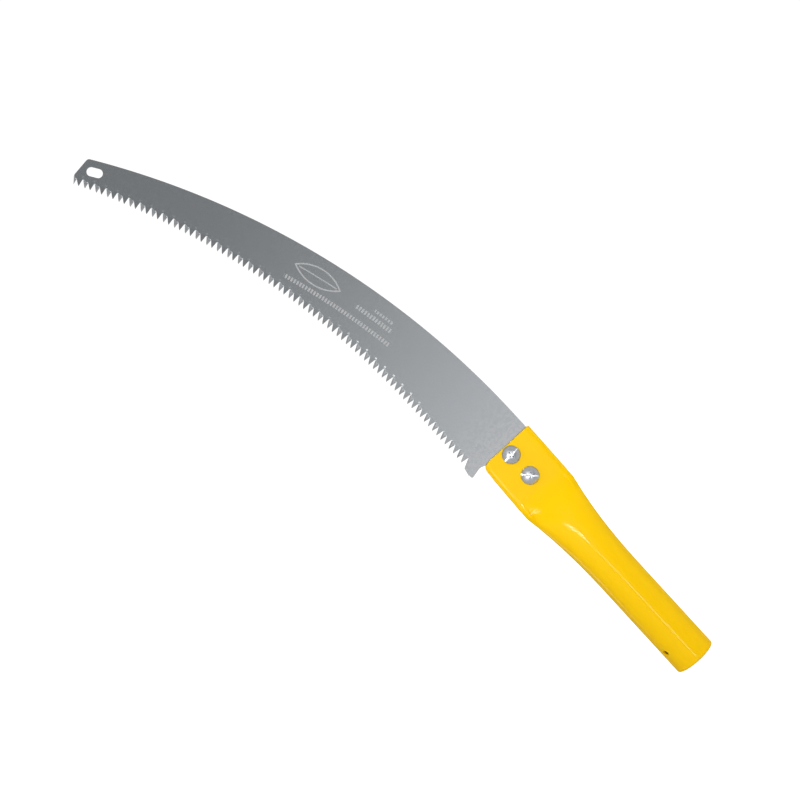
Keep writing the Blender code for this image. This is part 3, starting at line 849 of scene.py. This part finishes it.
def add_spur(outline):
    """The heel spur, from the tang's cutting side round to the first gullet."""
    arch = Vector((-20.4, 189.8)) * MM
    foot = Vector((-28.9, 188.0)) * MM
    nose = Vector((-29.6, 191.3)) * MM
    brow = Vector((-28.4, 196.5)) * MM
    gullet = Vector((-22.2, 198.9)) * MM
    outline.add([TANG_SIDE])
    outline.add(fillet(TANG_SIDE, arch, foot, 3.5 * MM))
    outline.add(fillet(arch, foot, nose, 0.9 * MM))
    outline.add([nose])
    outline.add(fillet(nose, brow, gullet, 0.9 * MM))


def add_teeth(outline):
    """The teeth, each ground on both flanks to one face and set to the other.
    Returns the places in the outline where each tooth starts."""
    first = FIRST_TOOTH_HEIGHT - TEETH_CENTRE.y
    starts = []
    for k in range(TOOTH_COUNT):
        run = first + k * TOOTH_PITCH
        depth = GULLET_DEPTHS[k % 2] + HEEL_DEEPER * (1 - k / TOOTH_COUNT)
        front, back = (TOOTH_BEVEL, 0.0) if k % 2 else (0.0, TOOTH_BEVEL)
        lean = TOOTH_SET if k % 2 else -TOOTH_SET
        low = on_tooth_line(run - GULLET_LAG - GULLET_FLAT, depth)
        outline.add([low], GULLET_BEVEL, GULLET_BEVEL)
        starts.append(len(outline.points))
        outline.add([on_tooth_line(run - GULLET_LAG, depth)], front, back)
        outline.add([on_tooth_line(run, 0.0)], front, back, lean)
        if k < TOOTH_COUNT - 1:
            shoulder = on_tooth_line(run + SHOULDER_RUN, SHOULDER_DEPTH)
            outline.add([shoulder], front, back, lean * 0.75)
    return starts[:-1]


def add_back(outline):
    """The tip's corners, the back edge, and the tang round to the spur."""
    corner = Vector((back_x(TIP_TOP_Z), TIP_TOP_Z))
    lead = Vector((back_x(TIP_TOP_Z - 10.0 * MM), TIP_TOP_Z - 10.0 * MM))
    outline.add([TIP_NOSE])
    rounded = fillet(TIP_NOSE, corner, lead, TIP_CORNER_RADIUS)
    outline.add(rounded)
    start = math.asin((rounded[-1].y - BACK_CENTRE.y) / BACK_RADIUS)
    outline.add(arc_points(BACK_CENTRE, BACK_RADIUS, start, 0.0, BACK_STEPS)[1:])
    foot = SOCKET_LENGTH - TANG_DEPTH
    top_back = Vector((back_x(0.0), SOCKET_LENGTH))
    low_back = Vector((18.2 * MM, foot))
    low_cutting = Vector((-14.6 * MM, foot))
    outline.add([top_back])
    outline.add(fillet(top_back, low_back, low_cutting, TANG_CORNER_RADIUS))
    outline.add(fillet(low_back, low_cutting, TANG_SIDE, TANG_CORNER_RADIUS))


def hanging_slot():
    axis = Vector((-math.sin(SLOT_TILT), math.cos(SLOT_TILT)))
    offset = axis * (SLOT_LENGTH - SLOT_WIDTH) / 2
    lead = math.atan2(axis.y, axis.x)
    quarter = math.pi / 2
    radius = SLOT_WIDTH / 2
    upper = arc_points(SLOT_CENTRE + offset, radius, lead - quarter, lead + quarter, 24)
    lower = arc_points(SLOT_CENTRE - offset, radius, lead + quarter, lead + 3 * quarter, 24)
    return upper + lower


def screw_hole(centre):
    middle = Vector((centre.x, centre.z))
    return arc_points(middle, THREAD_RADIUS + GAP, 0.0, 2 * math.pi, HOLE_STEPS)[:-1]


def build_blade(steel, ground):
    """The blade: side walls from the outline's rings, tooth faces, and two filled sides."""
    outer = Outline()
    add_spur(outer)
    tooth_starts = add_teeth(outer)
    add_back(outer)
    outlines = [outer]
    for points in [hanging_slot()] + [screw_hole(c) for c in SCREW_PLACES.values()]:
        hole = Outline()
        hole.add(points)
        outlines.append(hole)

    bm = bmesh.new()
    faces_edges = {0: [], 3: []}
    for outline in outlines:
        rings = loft(bm, outline.rings())
        for side in (0, 3):
            ring = rings[side]
            count = len(ring)
            skipped = set()
            if outline is outer:
                for start in tooth_starts:
                    corners = [ring[start + i] for i in range(4)]
                    bm.faces.new(corners)
                    skipped.update((start, start + 1, start + 2))
                    faces_edges[side].append(bm.edges.get((corners[0], corners[3])))
            for i in range(count):
                if i not in skipped:
                    edge = bm.edges.get((ring[i], ring[(i + 1) % count]))
                    faces_edges[side].append(edge)
    first_tooth, last_tooth = tooth_starts[0], tooth_starts[-1] + 6
    count = len(outer.points)
    bm.faces.ensure_lookup_table()
    for band in range(3):
        for i in range(first_tooth - 1, last_tooth):
            bm.faces[band * count + i].material_index = 1
    for edges in faces_edges.values():
        bmesh.ops.triangle_fill(bm, use_beauty=True, edges=edges)
    blade = add_object("curved_blade", bm, [steel, ground], 18.0)
    for polygon in blade.data.polygons:
        if abs(polygon.normal.y) > 0.999:
            polygon.use_smooth = False
    return blade


# --- fasteners ---
def thread_ring(depth, length, steps=40):
    """One ring of the screw's thread at a depth below its head."""
    taper = smooth((depth - 0.6 * MM) / (0.8 * MM))
    outer = THREAD_RADIUS - 0.02 * MM
    end = outer - 0.9 * MM + (length - depth)
    ring = []
    for i in range(steps):
        angle = 2 * math.pi * i / steps
        phase = (depth / THREAD_PITCH - i / steps) % 1.0
        groove = min(1.0, max(0.0, abs(2 * phase - 1) * 1.25 - 0.12))
        radius = min(outer - THREAD_DEPTH * groove * taper, end)
        ring.append((radius * math.cos(angle), radius * math.sin(angle), -depth))
    return ring


def build_screw(place, zinc):
    """A domed machine screw with a slot and cross drive and a cut thread."""
    centre = SCREW_PLACES[place]
    height = SEAT_Y - HEAD_TOP_Y
    length = SHANK_END_Y - SEAT_Y
    rise = height - HEAD_RIM
    sphere = (HEAD_RADIUS**2 + rise**2) / (2 * rise)
    profile = []
    for angle in spread(0.0, math.asin(HEAD_RADIUS / sphere), 18):
        profile.append((sphere * math.sin(angle), height - sphere * (1 - math.cos(angle))))
    profile += [(HEAD_RADIUS, 0.25 * MM), (HEAD_RADIUS - 0.25 * MM, 0.0), (0.0, 0.0)]
    screw = turned(f"{place}_screw_detail", profile, [zinc])

    above = 1.0 * MM  # the cutters reach this far above the head
    slot_width, slot_depth = DRIVE_SLOT
    slot = prism("slot", (3 * HEAD_RADIUS, slot_width, slot_depth + above))
    slot.location.z = height + above
    cut(screw, slot)
    wing_length, wing_width, wing_depth = DRIVE_WING
    for turn in (0.0, math.pi / 2):
        wing = prism("wing", (wing_length, wing_width, wing_depth + above), 0.45)
        wing.location.z = height + above
        wing.rotation_euler.z = turn
        cut(screw, wing)
    soften(screw, 0.13 * MM)

    bm = bmesh.new()
    depths = spread(-0.2 * MM, length - 0.9 * MM, int(length / THREAD_PITCH * 8))
    depths += spread(length - 0.9 * MM, length, 6)[1:]
    rings = loft(bm, [thread_ring(depth, length) for depth in depths])
    bm.faces.new(rings[0])
    bm.faces.new(rings[-1])
    shank = add_object("shank", bm, [zinc])
    cut(screw, shank, "UNION")
    seat = Vector((centre.x, SEAT_Y, centre.z))
    screw.data.transform(facing_front(seat, SCREW_TURNS[place]))
    return screw


def build_washer(place, zinc):
    """A split spring washer whose ends meet at a slant."""
    centre = SCREW_PLACES[place]
    y_near, y_far = WASHER_Y
    inner, outer, cut_back = THREAD_RADIUS + GAP, WASHER_RADIUS, 0.18 * MM
    thickness = y_far - y_near
    section = [
        (inner + cut_back, 0.0),
        (outer - cut_back, 0.0),
        (outer, cut_back),
        (outer, thickness - cut_back),
        (outer - cut_back, thickness),
        (inner + cut_back, thickness),
        (inner, thickness - cut_back),
        (inner, cut_back),
    ]
    bm = bmesh.new()
    rings = []
    for share in spread(0.0, 1.0, 72):
        ring = []
        for radius, height in section:
            lean = WASHER_SLANT * (height / thickness - 0.5)
            start = math.pi / 2 + WASHER_HALF_GAP + lean
            angle = start + share * 2 * (math.pi - WASHER_HALF_GAP)
            ring.append((radius * math.cos(angle), radius * math.sin(angle), -height))
        rings.append(ring)
    made = loft(bm, rings)
    bm.faces.new(made[0])
    bm.faces.new(made[-1])
    washer = add_object(f"{place}_washer_detail", bm, [zinc])
    seat = Vector((centre.x, y_near, centre.z))
    washer.data.transform(facing_front(seat, SCREW_TURNS[place]))
    return washer


def build_nut(place, zinc):
    """A hexagon nut with both faces chamfered and its bore countersunk."""
    centre = SCREW_PLACES[place]
    y_near, y_far = NUT_Y
    half = (y_far - y_near) / 2
    bm = bmesh.new()
    corner = NUT_ACROSS_FLATS / math.sqrt(3)
    bmesh.ops.create_cone(
        bm, cap_ends=True, segments=6, radius1=corner, radius2=corner, depth=2 * half
    )
    nut = add_object(f"{place}_nut_detail", bm, [zinc])
    slope = math.tan(math.radians(30.0))
    past = 0.1 * MM
    reach = corner + 0.5 * MM
    drop = (reach - NUT_FACE_RADIUS) * slope
    rim = NUT_FACE_RADIUS - past / slope
    profile = [(0.0, half + past), (rim, half + past), (reach, half - drop)]
    profile += [(radius, -height) for radius, height in reversed(profile)]
    cut(nut, turned("barrel", profile, [zinc]), "INTERSECT")
    hole = THREAD_RADIUS + 0.05 * MM
    flare = 0.45 * MM
    bore = [
        (0.0, half + flare),
        (hole + 2 * flare, half + flare),
        (hole, half - flare),
        (hole, flare - half),
        (hole + 2 * flare, -half - flare),
        (0.0, -half - flare),
    ]
    cut(nut, turned("bore", bore, [zinc], 64))
    soften(nut, 0.10 * MM)
    middle = Vector((centre.x, (y_near + y_far) / 2, centre.z))
    nut.data.transform(facing_front(middle, SCREW_TURNS[place]))
    return nut


# --- assembly ---
def keep(piece, node):
    """Lets the piece stand for its CAD node and ride with the part."""
    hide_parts(node)
    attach(piece, BODY)


def build_object():
    zinc = zinc_plate()
    steel = blade_steel()
    keep(build_socket(yellow_paint(), socket_inside()), "pole_socket")
    keep(build_blade(steel, ground_steel()), "saw_blade")
    for place in SCREW_PLACES:
        keep(build_screw(place, zinc), f"{place}_screw")
        keep(build_washer(place, zinc), f"{place}_spring_washer")
        keep(build_nut(place, zinc), f"{place}_nut")


# --- stage, light and camera ---
def build_floor():
    """A plain pale floor just under the socket's end. It glows for the camera only, so
    that it looks as white as the surround and still shades the socket's lower rim."""
    bm = bmesh.new()
    bmesh.ops.create_circle(bm, cap_ends=True, segments=96, radius=30.0)
    made, graph = new_material("pale_floor")
    to_camera = graph.add("ShaderNodeLightPath").outputs["Is Camera Ray"]
    graph.surface(
        Base_Color=grey(0.45),
        Roughness=1.0,
        Specular_IOR_Level=0.0,
        Emission_Color=grey(1.0),
        Emission_Strength=graph.math("MULTIPLY", to_camera, 0.9),
    )
    floor = add_object("floor", bm, [made])
    floor.location.z = -0.4 * MM
    floor.visible_glossy = False
    floor.visible_shadow = False


def build_world():
    """A white surround for the camera. The object sees a studio with a wide pale area
    below and to the left of the camera, a short bright bar just under it, and plain
    walls that are dimmest close around the camera."""
    world = bpy.data.worlds.new("studio")
    bpy.context.scene.world = world
    world.use_nodes = True
    graph = Graph(world.node_tree)
    way = graph.add("ShaderNodeTexCoord").outputs["Generated"]

    def along(axis):
        node = graph.add("ShaderNodeVectorMath", {0: way, 1: axis}, operation="DOT_PRODUCT")
        return node.outputs["Value"]

    right, up, front = along(VIEW_RIGHT), along(VIEW_UP), along(TO_CAMERA)
    to_tip = along(VIEW_UP * 0.56 - VIEW_RIGHT * 0.83)
    dark = graph.product(graph.ramp(to_tip, -0.10, 0.16), graph.ramp(up, -0.12, 0.0))
    pale = graph.product(
        graph.math("SUBTRACT", 1.0, dark),
        graph.ramp(up, -0.75, -0.35),
        graph.ramp(up, 0.20, 0.45, 1.0, 0.0),
        graph.ramp(right, -0.80, -0.45),
        graph.ramp(right, 0.15, 0.45, 1.0, 0.0),
        graph.ramp(right, -0.35, -0.08, 0.95, 0.55),
    )
    across, upward = along(Vector((1.0, 0.0, 0.0))), along(Vector((0.0, 0.0, 1.0)))
    bar = graph.product(
        graph.ramp(across, -0.08, 0.02),
        graph.ramp(across, 0.06, 0.16, 1.0, 0.0),
        graph.ramp(upward, -0.28, -0.16),
        graph.ramp(upward, -0.16, -0.11, 1.0, 0.0),
        2.2,
    )
    level = graph.math("ADD", pale, bar)
    level = graph.math("ADD", level, graph.ramp(front, 0.5, 0.92, 0.55, 0.29))
    share = graph.ramp(front, -0.35, 0.10)
    part = graph.product(graph.math("SUBTRACT", level, BEHIND_LEVEL), share)
    strength = graph.math("ADD", part, BEHIND_LEVEL)
    lit = graph.add("ShaderNodeBackground", {"Strength": strength})
    lit.inputs["Color"].default_value = (0.97, 0.985, 1.0, 1.0)
    seen = graph.add("ShaderNodeBackground", {"Color": grey(1.0), "Strength": 1.05})
    to_camera = graph.add("ShaderNodeLightPath").outputs["Is Camera Ray"]
    mixed = graph.add(
        "ShaderNodeMixShader", {0: to_camera, 1: lit.outputs[0], 2: seen.outputs[0]}
    )
    graph.add("ShaderNodeOutputWorld", {"Surface": mixed.outputs[0]})


def add_softbox(name, offset, size, radiance, tilt=0.0):
    """A rectangular softbox that faces the camera's aim. Its offset is metres to the
    camera's right, up and towards it, and its width runs along the camera's right, turned
    up by tilt."""
    light = bpy.data.lights.new(name, "AREA")
    light.shape = "RECTANGLE"
    light.size, light.size_y = size
    light.energy = radiance * math.pi * size[0] * size[1]
    obj = bpy.data.objects.new(name, light)
    bpy.context.scene.collection.objects.link(obj)
    place = CAMERA_AIM + VIEW_RIGHT * offset[0] + VIEW_UP * offset[1] + TO_CAMERA * offset[2]
    away = (place - CAMERA_AIM).normalized()
    width_way = VIEW_RIGHT * math.cos(tilt) + VIEW_UP * math.sin(tilt)
    side = (width_way - away * width_way.dot(away)).normalized()
    turn = Matrix((side, away.cross(side), away)).transposed()
    obj.matrix_world = Matrix.Translation(place) @ turn.to_4x4()
    obj.visible_camera = False
    return obj


def link_gloss(lights, names):
    """Lets the lights show only as reflections, and only in the pieces so named."""
    pieces = bpy.data.collections.new("reflecting")
    for obj in bpy.context.scene.collection.objects:
        if obj.name.startswith(names):
            pieces.objects.link(obj)
    for light in lights:
        light.visible_diffuse = False
        light.light_linking.receiver_collection = pieces


def build_lights():
    """Soft lights that give no mirror image. A strip, its two ends and a side panel make
    only the reflections in the socket's gloss and the screws, and two wide glows only
    those in the screws."""
    shading = [
        add_softbox("key", (-0.04, 0.09, 0.60), (0.4, 0.4), 3.2),
        add_softbox("front", (0.02, 0.02, 1.30), (0.8, 0.8), 1.7),
        add_softbox("upper_side", (0.80, 0.79, -0.20), (0.8, 0.8), 1.9),
        add_softbox("tip_side", (-0.71, 0.08, 0.30), (0.5, 0.5), 1.6),
        add_softbox("rear", (0.30, 0.30, -1.3), (0.9, 0.9), 3.0),
    ]
    for light in shading:
        light.visible_glossy = False
    gloss = [
        add_softbox("strip", (-0.20, -0.085, 1.4), (0.42, 0.15), 29.0, STRIP_TILT),
        add_softbox("strip_end", (-0.47, -0.05, 1.4), (0.12, 0.13), 9.0, STRIP_TILT),
        add_softbox("tail", (0.32, -0.30, 1.4), (0.57, 0.10), 8.0, 2 * STRIP_TILT),
        add_softbox("panel", (-0.60, -0.55, -0.60), (0.6, 0.9), 2.6),
    ]
    glow = [
        add_softbox("glow", (-0.55, -0.26, 1.4), (0.65, 0.60), 0.50),
        add_softbox("wide_glow", (-0.15, 0.08, 1.4), (1.7, 1.7), 0.72),
    ]
    link_gloss(gloss, ("socket_tube", "upper_screw", "lower_screw"))
    link_gloss(glow, ("upper_screw", "lower_screw"))


def build_camera():
    """Looks square on at the blade's flat side, rolled so that the tip lies upper left."""
    camera = bpy.data.cameras.new("camera")
    camera.sensor_width = 36.0
    camera.lens = camera.sensor_width * CAMERA_DISTANCE / WIDTH_SEEN
    obj = bpy.data.objects.new("camera", camera)
    bpy.context.scene.collection.objects.link(obj)
    turn = Matrix((VIEW_RIGHT, VIEW_UP, TO_CAMERA)).transposed()
    place = CAMERA_AIM + TO_CAMERA * CAMERA_DISTANCE
    obj.matrix_world = Matrix.Translation(place) @ turn.to_4x4()
    bpy.context.scene.camera = obj


build_object()
build_floor()
build_world()
build_lights()
build_camera()
bpy.context.scene.view_settings.view_transform = "Standard"

bpy.context.view_layer.update()
